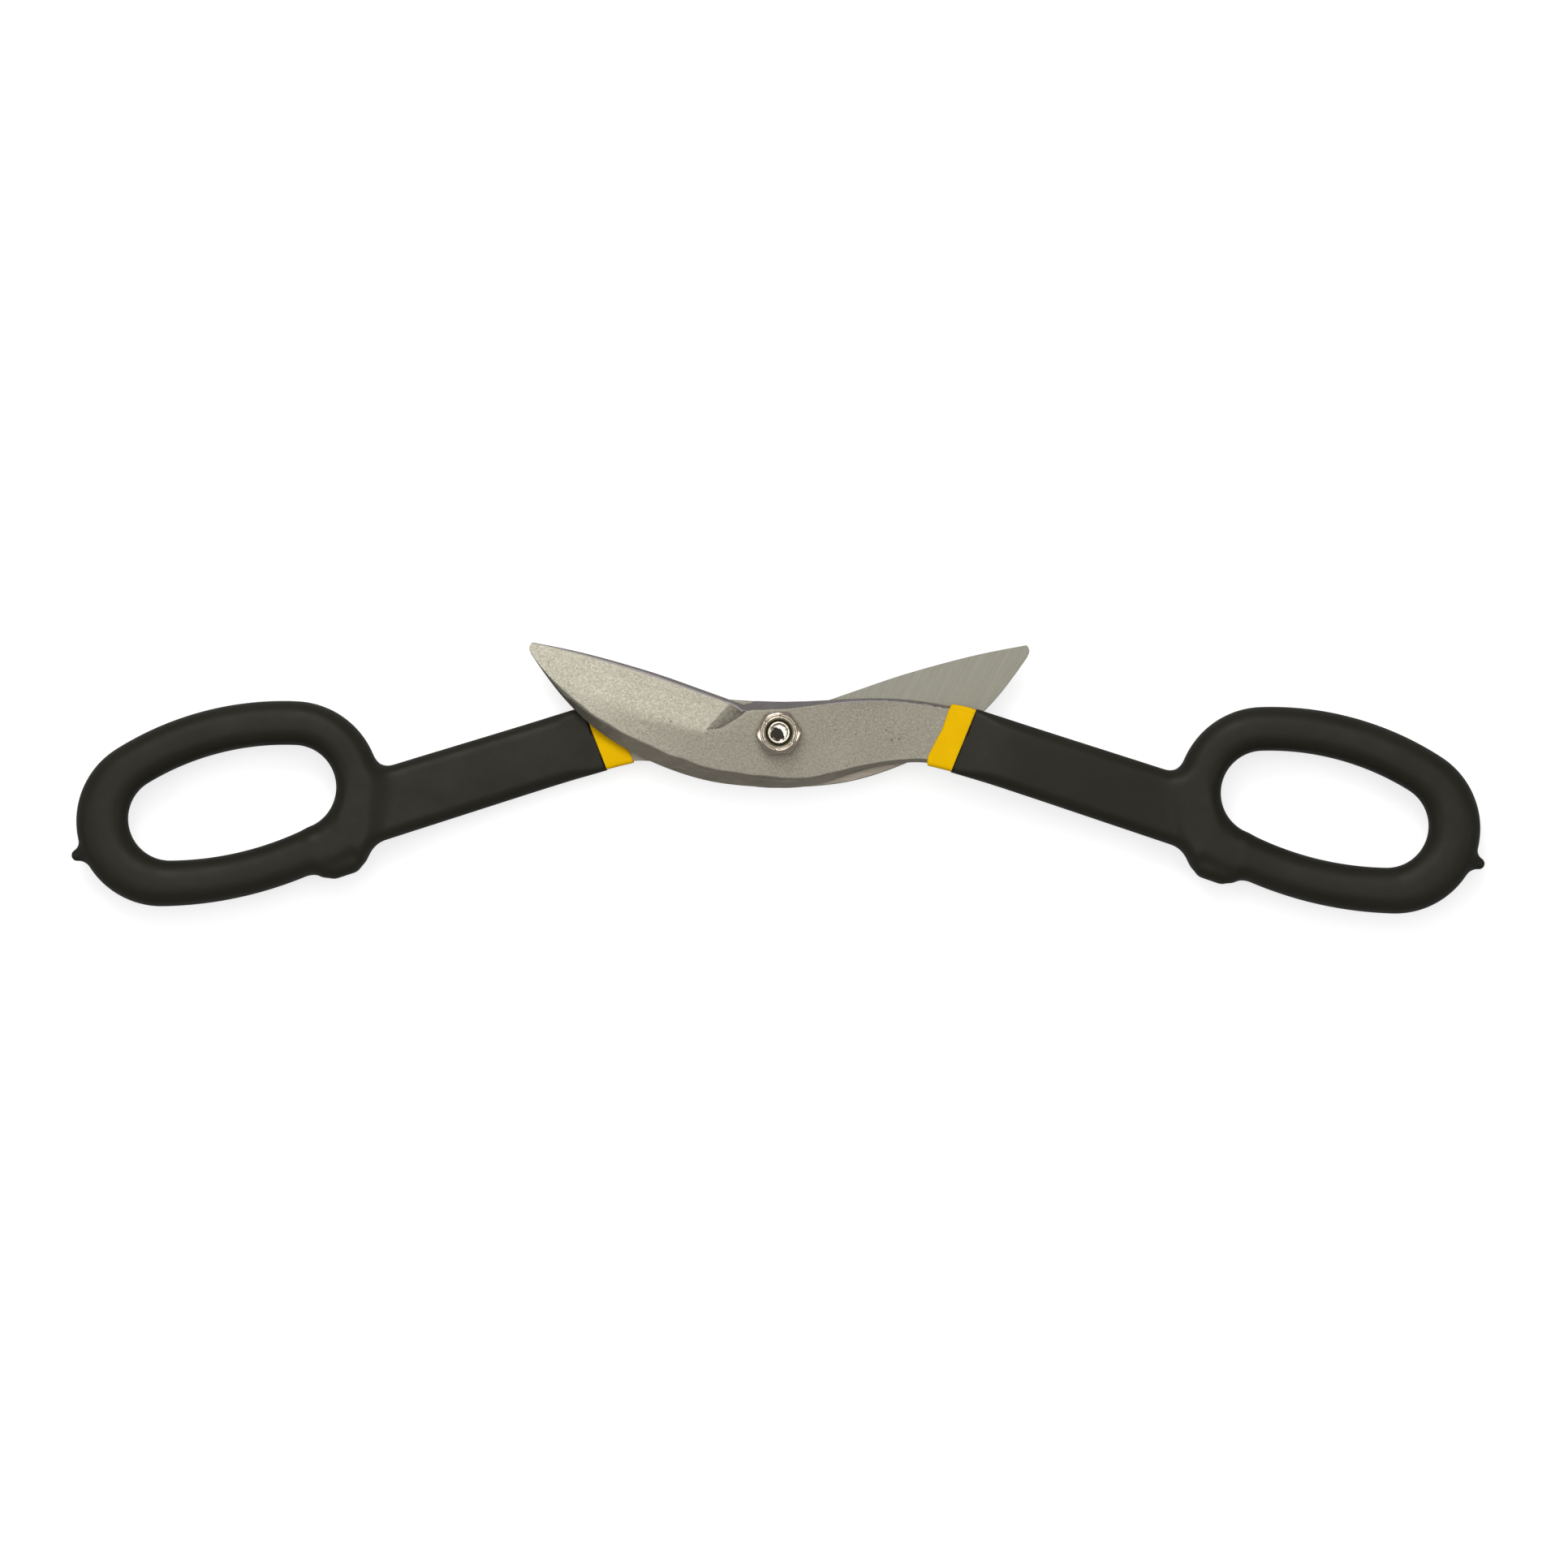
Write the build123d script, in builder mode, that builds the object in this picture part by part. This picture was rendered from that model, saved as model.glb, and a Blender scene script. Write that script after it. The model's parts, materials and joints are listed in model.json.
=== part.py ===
from build123d import *
from math import asin, cos, degrees, radians, sin, sqrt, tan
import os

# Straight-pattern tin snips, 12 in (305 mm) long when shut: two forged halves turn on one
# M8 bolt with a nylon-insert lock nut. Each handle is a closed finger loop, dipped in
# yellow vinyl and then in black.
#
# Row frame: the origin is the centre of the bolt head's outer face, +Z runs up the bolt,
# the snips stand wide open with both blades towards +Y and the two handles towards -Y.
#
# Half frame: both halves are one shape, drawn shut. The pivot is the origin, +X runs to the
# blade's tip, +Y towards the blade's spine, z = 0 is the plane where the halves meet and
# +Z faces outwards.

# ---- driving dimensions, mm and degrees ----
BLADE_LENGTH = 82.6          # pivot to tip
LAYER = 7.0                  # thickness of one half at the pivot
MATING_GAP = 0.1             # between the two halves' inner faces
OPEN_ANGLE = 142.7           # between the halves as they lie open; 0 is shut

BOLT_RADIUS = 4.0
BORE_RADIUS = 4.05
HEX_ACROSS_FLATS = 13.0
HEAD_HEIGHT = 5.3
NUT_HEIGHT = 8.0
NUT_HEX_HEIGHT = 5.6
BOLT_STICK_OUT = 0.4         # bolt end past the nut

BLACK_FILM = 1.3             # vinyl thickness, outer dip
YELLOW_FILM = 0.5            # vinyl thickness, under dip
YELLOW_EDGE_X = -47.6        # where the yellow dip ends on the neck
BLACK_EDGE_X = -55.3         # where the black dip ends
LOOP_DEPTH = 13.0            # finger loop, outside the vinyl, along the bolt's direction
STOP_GAP = 0.15              # each stop bump ends this far short of the centre line

# ---- blade ----
LAND = 2.2                   # height of the upright wall before the bevel starts
CROWN_START_X = 21.0         # the outer face starts to fall towards the tip here
CROWN_RADIUS = 480.0
HEEL_RADIUS = 20.0           # run-out of the ground faces into the boss
RELIEF_START = 0.3           # upright strip left under the relief of the cutting edge
RELIEF_ANGLE = 10.5
SHANK_END_X = -54.0          # the bevelled head runs this far under the vinyl

# Ground faces, each from a line at the heel: the line's y, its depth, the tilt, the heading.
GRIND_REACH = 35.0           # each ground face is cut this far to both sides of its line
SPINE_GRIND = (10.0, 0.0, 0.0, 0.0)
CREASE_GRIND = (6.6, 0.0, 8.0, 5.0)
EDGE_GRIND = (0.0, 6.6 * tan(radians(8.0)), 18.0, 2.5)

# ---- handle, outside the vinyl ----
# Shank sections: x, upper y, lower y, lowest z, highest z.
# The blade of the other half lies across the shank at x > SHANK_CLEAR[0] when the snips
# are open, so up to there the vinyl stays above z = 0.4.
SHANK_FULL = (-64.0, -6.1, -27.2, 0.4, 10.8)
SHANK_CLEAR = (-76.0, -6.4, -27.5, 0.4, 10.8)
SHANK_LAST = (-131.0, -6.8, -28.6, -4.8, 5.4)
BLACK_LIP = (BLACK_EDGE_X, -5.8, -27.1, 1.0, 9.1)
YELLOW_UNDER_LIP = (BLACK_EDGE_X, -6.1, -26.8, 1.4, 8.8)
YELLOW_LIP = (YELLOW_EDGE_X, -5.4, -26.3, 0.4, 7.6)
STEEL_START = (-50.0, -6.9, -25.3, 1.6, 7.4)
STEEL_UNDER_LIP = (BLACK_EDGE_X, -6.8, -26.0, 2.0, 8.2)
SHANK_CORNER = 4.0
LIP_CORNER = 1.2
NECK_RELIEF_X = -41.0        # the inner face leaves the mating plane here
NECK_RELIEF_ANGLE = 9.0

# Finger loop: an outer and an inner oval of four tangent arcs, as
# (far centre, far radius, near centre, near radius, upper radius, lower radius).
LOOP_OUTSIDE = (Vector(-192.1, -34.45), 26.65, Vector(-149.55, -31.5), 27.0, 122.0, 98.0)
LOOP_OPENING = (Vector(-189.4, -34.35), 13.05, Vector(-149.4, -31.5), 13.2, 98.8, 82.8)
LOOP_ROUNDING = 6.0
STOP_HALF_DEPTH = 4.0
STOP_ROUNDING = 2.0
NUB_RADIUS = 2.7             # drip nub at the loop's far end
NUB_END_RADIUS = 1.2
NUB_HEIGHT = 4.1
NUB_ROOT_X = -218.1          # inside the black film
NUB_Y = -32.6

MID_Z = HEAD_HEIGHT + LAYER
HALF_TURN = 90 + OPEN_ANGLE / 2
FRONT_PLACE = Location((0, 0, MID_Z), (0, 0, HALF_TURN))
REAR_PLACE = Location((0, 0, MID_Z), (0, 180, 0)) * Location((0, 0, 0), (0, 0, HALF_TURN))
NUT_Z = MID_Z + LAYER


def oval(far, far_radius, near, near_radius, upper_radius, lower_radius, inset=0.0):
    """Two round ends joined by a flatter arc above and one below, all tangent."""
    along = (near - far).normalized()
    across = Vector(-along.Y, along.X)
    span = (near - far).length

    def side_centre(radius, sign):
        to_far = radius - far_radius
        to_near = radius - near_radius
        step = (to_far**2 - to_near**2 + span**2) / (2 * span)
        return far + along * step - across * sign * sqrt(to_far**2 - step**2)

    def touch(centre, radius, side):
        return centre + (centre - side).normalized() * radius

    far_radius, near_radius = far_radius - inset, near_radius - inset
    upper_radius, lower_radius = upper_radius - inset, lower_radius - inset
    upper = side_centre(upper_radius, 1)
    lower = side_centre(lower_radius, -1)
    corners = [
        touch(far, far_radius, upper),
        touch(near, near_radius, upper),
        touch(near, near_radius, lower),
        touch(far, far_radius, lower),
    ]
    upper_middle = upper + ((corners[0] + corners[1]) * 0.5 - upper).normalized() * upper_radius
    lower_middle = lower + ((corners[2] + corners[3]) * 0.5 - lower).normalized() * lower_radius
    ThreePointArc(corners[0], upper_middle, corners[1])
    ThreePointArc(corners[1], near + along * near_radius, corners[2])
    ThreePointArc(corners[2], lower_middle, corners[3])
    ThreePointArc(corners[3], far - along * far_radius, corners[0])


def head_outline(neck_top, spine, tip, edge_middle, heel, belly, neck_bottom):
    """Blade, boss and neck as one closed line: spine, tip, cutting edge, heel and belly."""
    Line(neck_top, spine[0])
    Spline(*spine)
    ThreePointArc(spine[-1], tip[0], tip[1])
    ThreePointArc(tip[1], edge_middle, heel)
    Line(heel, belly[0])
    Spline(*belly)
    Line(belly[-1], neck_bottom)
    Line(neck_bottom, neck_top)


def ground_profile():
    """The air above a ground face: a round run-out at the heel, then a long crown."""
    fall = degrees(asin((BLADE_LENGTH - CROWN_START_X + 5) / CROWN_RADIUS))
    run_out = JernArc((0, 0), (-1, 0), HEEL_RADIUS, -60)
    crown = JernArc((0, 0), (1, 0), CROWN_RADIUS, -fall)
    above = (crown @ 1).X, (run_out @ 1).Y
    Line(crown @ 1, above)
    Line(above, run_out @ 1)


def shank_section(section, inset=0.0):
    """A rounded rectangle across the shank."""
    x, upper, lower, low_z, high_z = section
    plane = Plane(origin=(x, (upper + lower) / 2, (low_z + high_z) / 2),
                  x_dir=(0, 1, 0), z_dir=(-1, 0, 0))
    with BuildSketch(plane) as section_sketch:
        width = upper - lower - 2 * inset
        depth = high_z - low_z - 2 * inset
        RectangleRounded(width, depth, LIP_CORNER if x > SHANK_FULL[0] else SHANK_CORNER - inset)
    return section_sketch.sketch


def handle(first_sections, inset):
    """Shank, finger loop and stop bump, a film's thickness inside the finished surface."""
    with BuildPart() as loop:
        with BuildSketch(Plane.XY.offset(inset - LOOP_DEPTH / 2)):
            with BuildLine():
                oval(*LOOP_OUTSIDE, inset=inset)
            make_face()
            with BuildLine():
                oval(*LOOP_OPENING, inset=-inset)
            make_face(mode=Mode.SUBTRACT)
        extrude(amount=LOOP_DEPTH - 2 * inset)
        fillet(loop.edges().filter_by(GeomType.CIRCLE), LOOP_ROUNDING - inset)

    with BuildPart() as stop:
        top = -STOP_GAP - inset
        with BuildSketch(Plane.XY.offset(inset - STOP_HALF_DEPTH)):
            with BuildLine():
                far_foot = (-157 + inset, -5.4 - inset)
                near_foot = (-125 - inset, -9.6 - inset)
                crest = (-145.6 + inset / 2, top), (-139.8 - inset / 2, top)
                Spline(far_foot, crest[0], tangents=((1, 0), (1, 0)))
                Line(*crest)
                Spline(crest[1], near_foot, tangents=((1, 0), (1, 0)))
                Polyline(near_foot, (-128, -16), (-154, -12), far_foot)
            make_face()
        extrude(amount=2 * (STOP_HALF_DEPTH - inset))
        crest_edges = stop.faces().filter_by(Axis.Z).edges().filter_by_position(Axis.Y, -7.5, 0)
        fillet(crest_edges, STOP_ROUNDING - inset / 2)

    with BuildPart() as whole:
        for section in first_sections:
            add(shank_section(section))
        for section in (SHANK_FULL, SHANK_CLEAR, SHANK_LAST):
            add(shank_section(section, inset))
        loft(ruled=True)
        add(loop.part)
        add(stop.part)
    return whole.part


# ---- one forged half: blade, boss, neck, shank and finger loop in one piece ----
with BuildPart() as forging:
    silhouette = dict(
        neck_top=(SHANK_END_X, -6.8),
        spine=((-47, -6.2), (-38, -2.9), (-28, 2.8), (-15, 12.2), (0, 17.9), (14, 21.1),
               (26, 21.9), (43, 20.4), (57, 16.5), (70, 9.9), (81.6, 1.7)),
        tip=((BLADE_LENGTH, -0.2), (82.2, -1.7)),
        edge_middle=(40, -5.1),
        heel=(13.2, -4.1),
        belly=((10, -7.1), (0, -10.3), (-13, -15.4), (-30, -21.6), (-47, -25.1)),
        neck_bottom=(SHANK_END_X, -26.0),
    )
    outer_face = dict(
        neck_top=(SHANK_END_X, -7.8),
        spine=((-47, -7.1), (-38, -3.9), (-28, 1.4), (-15, 9.5), (0, 14.4), (14, 17.2),
               (26, 17.6), (42, 15.8), (55.4, 12.5), (68.2, 6.9), (80.3, 0.0)),
        tip=((80.7, -0.9), (80.4, -1.5)),
        edge_middle=(40, -4.7),
        heel=(13.0, -3.4),
        belly=((10.5, -3.9), (0, -7.9), (-13, -14.5), (-30, -20.9), (-47, -24.2)),
        neck_bottom=(SHANK_END_X, -25.0),
    )
    with BuildSketch(Plane.XY.offset(MATING_GAP / 2)):
        with BuildLine():
            head_outline(**silhouette)
        make_face()
    extrude(amount=LAND - MATING_GAP / 2)
    with BuildSketch(Plane.XY.offset(LAND)) as bevel_foot:
        with BuildLine():
            head_outline(**silhouette)
        make_face()
    with BuildSketch(Plane.XY.offset(LAYER)) as bevel_top:
        with BuildLine():
            head_outline(**outer_face)
        make_face()
    loft(ruled=True)

    for line_y, depth, tilt, heading in (SPINE_GRIND, CREASE_GRIND, EDGE_GRIND):
        outwards = Vector(sin(radians(heading)), -cos(radians(heading)), 0)
        slope = outwards * cos(radians(tilt)) - Vector(0, 0, 1) * sin(radians(tilt))
        start = Vector(CROWN_START_X, line_y, LAYER - depth) - slope * GRIND_REACH
        along = (cos(radians(heading)), sin(radians(heading)), 0)
        with BuildSketch(Plane(origin=start, x_dir=along, z_dir=outwards)):
            with BuildLine():
                ground_profile()
            make_face()
        extrude(amount=2 * GRIND_REACH, dir=slope, mode=Mode.SUBTRACT)

    with BuildSketch(Plane.XY.offset(RELIEF_START)):
        with BuildLine():
            ThreePointArc(silhouette["tip"][1], silhouette["edge_middle"], silhouette["heel"])
            Polyline(silhouette["heel"], (13.2, -12), (90, -12), (90, -1.7), silhouette["tip"][1])
        make_face()
    extrude(amount=LAYER, dir=(0, sin(radians(RELIEF_ANGLE)), cos(radians(RELIEF_ANGLE))),
            mode=Mode.SUBTRACT)

    with BuildSketch(Plane.XZ):
        with BuildLine():
            rise = (NECK_RELIEF_X - SHANK_END_X + 1) * tan(radians(NECK_RELIEF_ANGLE))
            Polyline((NECK_RELIEF_X, MATING_GAP / 2), (SHANK_END_X - 1, MATING_GAP / 2 + rise),
                     (SHANK_END_X - 1, -1), (NECK_RELIEF_X, -1), close=True)
        make_face()
    extrude(amount=60, both=True, mode=Mode.SUBTRACT)

    add(handle([STEEL_START, STEEL_UNDER_LIP], BLACK_FILM + YELLOW_FILM))
    Cylinder(BORE_RADIUS, 4 * LAYER, mode=Mode.SUBTRACT)

# ---- yellow under dip and black outer dip ----
yellow_outside = handle([YELLOW_LIP, YELLOW_UNDER_LIP], BLACK_FILM)
with BuildPart() as under_dip:
    add(yellow_outside)
    add(forging.part, mode=Mode.SUBTRACT)

with BuildPart() as outer_dip:
    add(handle([BLACK_LIP], 0.0))
    add(yellow_outside, mode=Mode.SUBTRACT)
    with Locations(Location((NUB_ROOT_X, NUB_Y, 0), (0, -90, 0))):
        Cone(NUB_RADIUS, NUB_END_RADIUS, NUB_HEIGHT, align=(Align.CENTER, Align.CENTER, Align.MIN))

# ---- the same three pieces for the front half and the rear half ----
os.makedirs("parts", exist_ok=True)
for side, place in (("front", FRONT_PLACE), ("rear", REAR_PLACE)):
    for piece, shape in (("blade", forging), ("undercoat", under_dip), ("grip", outer_dip)):
        with BuildPart() as placed:
            add(shape.part.moved(place))
        placed.part.label = f"{side}_{piece}"
        export_step(placed.part, f"parts/{side}_{piece}.step")

# ---- pivot bolt: hexagon head at the rear, chamfered end past the nut ----
with BuildPart() as pivot_bolt:
    with BuildSketch():
        RegularPolygon(HEX_ACROSS_FLATS / 2, 6, major_radius=False, rotation=5)
    extrude(amount=HEAD_HEIGHT)
    with BuildSketch(Plane.XZ):
        with BuildLine():
            Polyline((0, 0), (6.1, 0), (7.6, 0.85), (7.6, HEAD_HEIGHT), (0, HEAD_HEIGHT), (0, 0))
        make_face()
    revolve(axis=Axis.Z, mode=Mode.INTERSECT)
    with BuildSketch(Plane.XY.offset(HEAD_HEIGHT)):
        Circle(BOLT_RADIUS)
    extrude(amount=2 * LAYER + NUT_HEIGHT + BOLT_STICK_OUT)
    chamfer(pivot_bolt.edges().sort_by(Axis.Z)[-1], 0.65)
pivot_bolt.part.label = "pivot_bolt"
export_step(pivot_bolt.part, "parts/pivot_bolt.step")

# ---- lock nut: chamfered hexagon under a round collar crimped over the nylon ring ----
NYLON_FOOT = 5.7
NYLON_TOP = 7.35
NYLON_OUTSIDE = 5.05
COLLAR_RADIUS = 5.75
CRIMP_RADIUS = 4.75
with BuildPart() as lock_nut:
    with BuildSketch(Plane.XY.offset(NUT_Z)):
        RegularPolygon(HEX_ACROSS_FLATS / 2, 6, major_radius=False, rotation=5)
    extrude(amount=NUT_HEIGHT)
    with BuildSketch(Plane.XZ):
        with BuildLine():
            Polyline((BORE_RADIUS, NUT_Z), (6.6, NUT_Z), (7.6, NUT_Z + 0.6),
                     (7.6, NUT_Z + NUT_HEX_HEIGHT - 0.9), (6.3, NUT_Z + NUT_HEX_HEIGHT),
                     (COLLAR_RADIUS, NUT_Z + NUT_HEX_HEIGHT), (COLLAR_RADIUS, NUT_Z + 7.1))
            ThreePointArc((COLLAR_RADIUS, NUT_Z + 7.1), (5.49, NUT_Z + 7.74), (4.9, NUT_Z + NUT_HEIGHT))
            Polyline((4.9, NUT_Z + NUT_HEIGHT), (CRIMP_RADIUS, NUT_Z + NUT_HEIGHT),
                     (CRIMP_RADIUS, NUT_Z + NYLON_TOP), (NYLON_OUTSIDE, NUT_Z + NYLON_TOP),
                     (NYLON_OUTSIDE, NUT_Z + NYLON_FOOT), (BORE_RADIUS, NUT_Z + NYLON_FOOT),
                     (BORE_RADIUS, NUT_Z))
        make_face()
    revolve(axis=Axis.Z, mode=Mode.INTERSECT)
lock_nut.part.label = "lock_nut"
export_step(lock_nut.part, "parts/lock_nut.step")

# ---- nylon ring held in the nut's collar ----
with BuildPart() as nylon_ring:
    with BuildSketch(Plane.XY.offset(NUT_Z + NYLON_FOOT)):
        Circle(NYLON_OUTSIDE)
        Circle(BOLT_RADIUS + 0.02, mode=Mode.SUBTRACT)
    extrude(amount=NYLON_TOP - NYLON_FOOT)
nylon_ring.part.label = "nylon_ring"
export_step(nylon_ring.part, "parts/nylon_ring.step")
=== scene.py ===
"""Straight-pattern tin snips, lying wide open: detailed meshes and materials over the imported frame."""
import json
from itertools import product
from math import cos, degrees, exp, hypot, pi, radians, sin, sqrt, tan

import bmesh
import bpy
import numpy as np
from mathutils import Matrix, Vector


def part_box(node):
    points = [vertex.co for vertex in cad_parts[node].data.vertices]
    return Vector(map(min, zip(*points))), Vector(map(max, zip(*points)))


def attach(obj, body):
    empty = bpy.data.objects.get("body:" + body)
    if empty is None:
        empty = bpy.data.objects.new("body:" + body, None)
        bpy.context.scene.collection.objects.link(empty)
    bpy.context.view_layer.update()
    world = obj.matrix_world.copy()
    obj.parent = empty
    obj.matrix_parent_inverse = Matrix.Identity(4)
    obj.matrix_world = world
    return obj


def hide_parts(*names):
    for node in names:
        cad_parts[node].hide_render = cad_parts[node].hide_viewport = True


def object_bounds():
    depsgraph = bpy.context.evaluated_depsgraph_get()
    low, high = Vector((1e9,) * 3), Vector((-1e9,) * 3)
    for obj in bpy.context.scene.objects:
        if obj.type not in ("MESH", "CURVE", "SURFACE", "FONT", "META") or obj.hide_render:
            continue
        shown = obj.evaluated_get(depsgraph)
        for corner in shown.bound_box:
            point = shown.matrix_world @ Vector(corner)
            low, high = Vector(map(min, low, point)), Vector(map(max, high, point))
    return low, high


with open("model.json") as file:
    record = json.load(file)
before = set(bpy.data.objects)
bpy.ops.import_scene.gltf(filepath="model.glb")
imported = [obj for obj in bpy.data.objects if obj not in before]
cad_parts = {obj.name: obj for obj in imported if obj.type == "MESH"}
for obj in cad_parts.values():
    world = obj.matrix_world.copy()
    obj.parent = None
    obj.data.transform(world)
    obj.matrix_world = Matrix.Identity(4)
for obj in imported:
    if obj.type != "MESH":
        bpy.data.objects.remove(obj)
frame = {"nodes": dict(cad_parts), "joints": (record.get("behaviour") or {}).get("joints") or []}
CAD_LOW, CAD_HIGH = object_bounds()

MM = 0.001

# ---- the frame: where the pivot is and how each half lies ----
JOINT = frame["joints"][0]
PIVOT = Vector(JOINT["pos_m"])
HALF_TURN = radians(90 + JOINT["range_deg"][1] / 2)
TURNED = Matrix.Rotation(HALF_TURN, 4, "Z") @ Matrix.Scale(MM, 4)
PLACES = {
    "front": Matrix.Translation(PIVOT) @ TURNED,
    "rear": Matrix.Translation(PIVOT) @ Matrix.Rotation(pi, 4, "Y") @ TURNED,
}
NUT_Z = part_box("lock_nut")[0].z / MM
LAYER = NUT_Z - PIVOT.z / MM                    # thickness of one half at the pivot
HEAD_HEIGHT = PIVOT.z / MM - LAYER

# Half frame, mm: +X to the tip, +Y to the spine, z = 0 where the halves meet, +Z outwards.
MATING_Z = 0.05              # the inner face, half of the gap between the halves
LAND = 2.2                   # height of the upright wall below the forged bevels
BORE_RADIUS = 4.05


# ---------------------------------------------------------------- shared shaping tools
def smooth_curve(points):
    """A natural cubic spline y(x) through the points, straight beyond its ends."""
    x, y = np.array(points, float).T
    order = np.argsort(x)
    x, y = x[order], y[order]
    n = len(x)
    h = np.diff(x)
    system = np.eye(n)
    right = np.zeros(n)
    for i in range(1, n - 1):
        system[i, i - 1:i + 2] = h[i - 1], 2 * (h[i - 1] + h[i]), h[i]
        right[i] = 6 * ((y[i + 1] - y[i]) / h[i] - (y[i] - y[i - 1]) / h[i - 1])
    bend = np.linalg.solve(system, right)

    def value(at):
        at = np.asarray(at, float)
        i = np.clip(np.searchsorted(x, at) - 1, 0, n - 2)
        t = at - x[i]
        slope = (y[i + 1] - y[i]) / h[i] - h[i] * (2 * bend[i] + bend[i + 1]) / 6
        inside = y[i] + slope * t + bend[i] * t**2 / 2 + (bend[i + 1] - bend[i]) * t**3 / (6 * h[i])
        low_slope = (y[1] - y[0]) / h[0] - h[0] * (2 * bend[0] + bend[1]) / 6
        high_slope = (y[-1] - y[-2]) / h[-1] + h[-1] * (2 * bend[-1] + bend[-2]) / 6
        inside = np.where(at < x[0], y[0] + low_slope * (at - x[0]), inside)
        return np.where(at > x[-1], y[-1] + high_slope * (at - x[-1]), inside)

    return value


def smooth_step(at, low, high):
    t = np.clip((at - low) / (high - low), 0, 1)
    return t * t * (3 - 2 * t)


def soft_min(a, b, radius):
    """The lower of two fields, rounded where they cross."""
    mix = np.clip(0.5 + 0.5 * (b - a) / radius, 0, 1)
    return b * (1 - mix) + a * mix - radius * mix * (1 - mix)


def soft_max(a, b, radius):
    return -soft_min(-a, -b, radius)


def ripple(x, y, scale, seed, z=0.0):
    """Smooth, repeatable unevenness between -1 and 1."""
    draw = np.random.default_rng(seed)
    total = 0.0
    for k in range(6):
        way = draw.uniform(0, 2 * pi)
        tilt = draw.uniform(-0.6, 0.6)
        wave = scale * draw.uniform(0.7, 1.6)
        phase = draw.uniform(0, 2 * pi)
        total = total + np.sin((x * cos(way) + y * sin(way) + z * tilt) * 2 * pi / wave + phase)
    return total / 3.5


def mesh_object(name, points, faces, smooth=True):
    mesh = bpy.data.meshes.new(name)
    mesh.from_pydata([tuple(p) for p in points], [], [tuple(f) for f in faces])
    mesh.validate()
    mesh.update()
    if smooth:
        mesh.polygons.foreach_set("use_smooth", [True] * len(mesh.polygons))
    piece = bpy.data.objects.new(name, mesh)
    bpy.context.scene.collection.objects.link(piece)
    return piece


def face_outwards(piece):
    work = bmesh.new()
    work.from_mesh(piece.data)
    bmesh.ops.recalc_face_normals(work, faces=work.faces)
    work.to_mesh(piece.data)
    work.free()


def apply_modifiers(piece):
    depsgraph = bpy.context.evaluated_depsgraph_get()
    made = bpy.data.meshes.new_from_object(piece.evaluated_get(depsgraph))
    old = piece.data
    piece.modifiers.clear()
    piece.data = made
    bpy.data.meshes.remove(old)


def give(piece, *materials):
    for material in materials:
        piece.data.materials.append(material)


def stands_for(piece, node, body):
    """The finished piece replaces its CAD node and rides on the same body."""
    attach(piece, body)
    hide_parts(node)


# ---------------------------------------------------------------- blade, boss and neck
TIP_X = 82.6
NECK_END_X = -56.0
HEEL_X = 13.2
BELLY_END_X = 10.0
CROWN_START_X = 21.0
CROWN_RADIUS = 480.0
RAMP_TOP_Y = 6.4
TIP_CENTRE = (80.4, -0.35)
TIP_RADIUS = 2.2
spine_curve = smooth_curve([(-54, -6.8), (-47, -6.2), (-38, -2.9), (-28, 2.8), (-15, 12.2), (0, 17.9),
                            (14, 21.1), (26, 21.9), (43, 20.4), (57, 16.5), (70, 9.9), (81.6, 1.7)])
belly_curve = smooth_curve([(-54, -26.0), (-47, -25.1), (-30, -21.6), (-13, -15.4), (0, -10.3),
                            (10, -7.1)])
edge_curve = smooth_curve([(13, -4.65), (19, -4.85), (26, -4.95), (40, -5.1), (54, -4.6),
                           (68, -3.55), (82.2, -1.7)])
# width of the forged bevel, seen square on, along the spine and along the belly
spine_bevel = smooth_curve([(-54, 0.9), (-38, 1.0), (-28, 1.3), (-15, 2.4), (0, 3.4), (14, 3.8),
                            (26, 4.2), (43, 4.5), (57, 4.0), (70, 3.1), (81, 1.6)])
belly_bevel = smooth_curve([(-54, 0.9), (-30, 0.75), (-13, 0.95), (-5, 1.7), (3, 2.5), (14, 2.9)])
CREASE_TILT, CREASE_HEADING = radians(8), radians(5)
EDGE_TILT, EDGE_HEADING = radians(18), radians(2.5)
CREASE_Y = 6.6
RELIEF_ANGLE = radians(9)
NECK_RELIEF_X = -41.0
NECK_RELIEF_ANGLE = radians(9)


DARK_SPINE_STRIP = 2.6         # inner face along the spine given the darker forged material
RELIEF_START = 0.3           # upright strip under the relief of the cutting edge
ROW_COUNTS = (9, 18, 16, 20, 12)     # rows of the relief, two ground faces, flat and spine bevel
BLASTED, FORGED, BRUSHED, GROUND = range(4)     # the order of the blade's materials


def lower_border(x):
    step = np.interp(x, [BELLY_END_X, HEEL_X], [0, 1])
    border = belly_curve(np.minimum(x, BELLY_END_X)) * (1 - step) + edge_curve(np.maximum(x, HEEL_X)) * step
    reach = np.sqrt(np.clip(TIP_RADIUS**2 - np.maximum(x - TIP_CENTRE[0], 0)**2, 0, None))
    return np.where(x > 81.5, np.maximum(border, TIP_CENTRE[1] - reach), border)


def upper_border(x):
    border = spine_curve(x)
    reach = np.sqrt(np.clip(TIP_RADIUS**2 - np.maximum(x - TIP_CENTRE[0], 0)**2, 0, None))
    return np.where(x > 81.4, np.minimum(border, TIP_CENTRE[1] + reach), border)


def slope_cosine(curve, x):
    run = 0.2
    rise = (curve(x + run) - curve(x - run)) / (2 * run)
    return 1 / np.sqrt(1 + rise**2)


def ramp_end(y):
    """Where the ground faces stop, at the foot of the heel ramp."""
    return 17.6 + (np.minimum(y, RAMP_TOP_Y) + 3.6) * 0.424


ramp_top = smooth_curve([(-5.5, 10.9), (-3, 11.9), (0.2, 13.9), (3.4, 16.6), (5.4, 19.2), (6.3, 21.3),
                         (7.4, 22.4)])


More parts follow.
